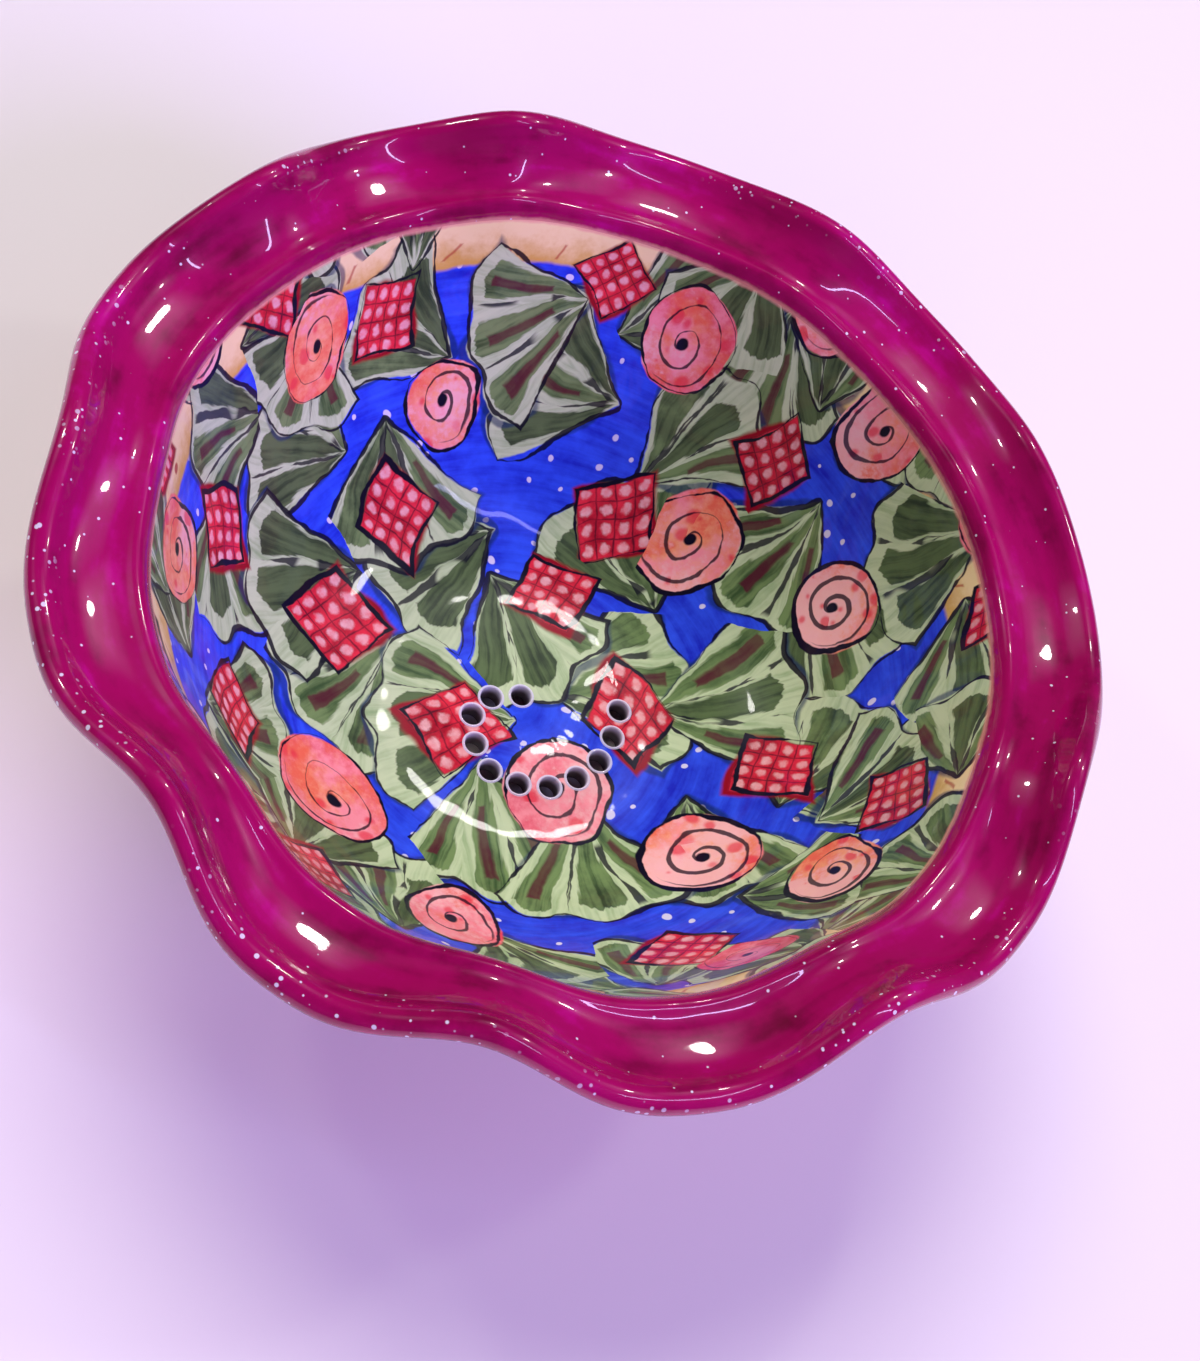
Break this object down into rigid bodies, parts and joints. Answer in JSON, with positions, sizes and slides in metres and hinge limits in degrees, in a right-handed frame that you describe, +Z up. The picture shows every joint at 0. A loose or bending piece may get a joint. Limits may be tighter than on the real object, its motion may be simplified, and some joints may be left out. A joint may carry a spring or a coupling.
{
  "type": "berry bowl",
  "caption": "Round ceramic berry bowl with a ruffled flared rim, small drain holes in its floor and a foot ring with arches.",
  "frame": {"origin": "On the table under the axis of the bowl, at the middle of the foot ring's underside.", "axes": "+Z is up along the axis of the bowl. -Y is the side nearest the camera in the picture. +X is to the right of that side."},
  "size_m": [0.2755, 0.2731, 0.1162],
  "materials": {
    "painted_glaze": "brush-painted underglaze colours on cobalt blue under a thick clear gloss glaze",
    "rim_glaze": "glossy raspberry glaze with darker streaks and small white specks",
    "bare_clay": "unglazed fired clay, dry and slightly rough"
  },
  "bodies": {
    "root": {"basin": "painted_glaze", "ruffled_rim": "rim_glaze", "foot_ring": "bare_clay"}
  },
  "joints": []
}
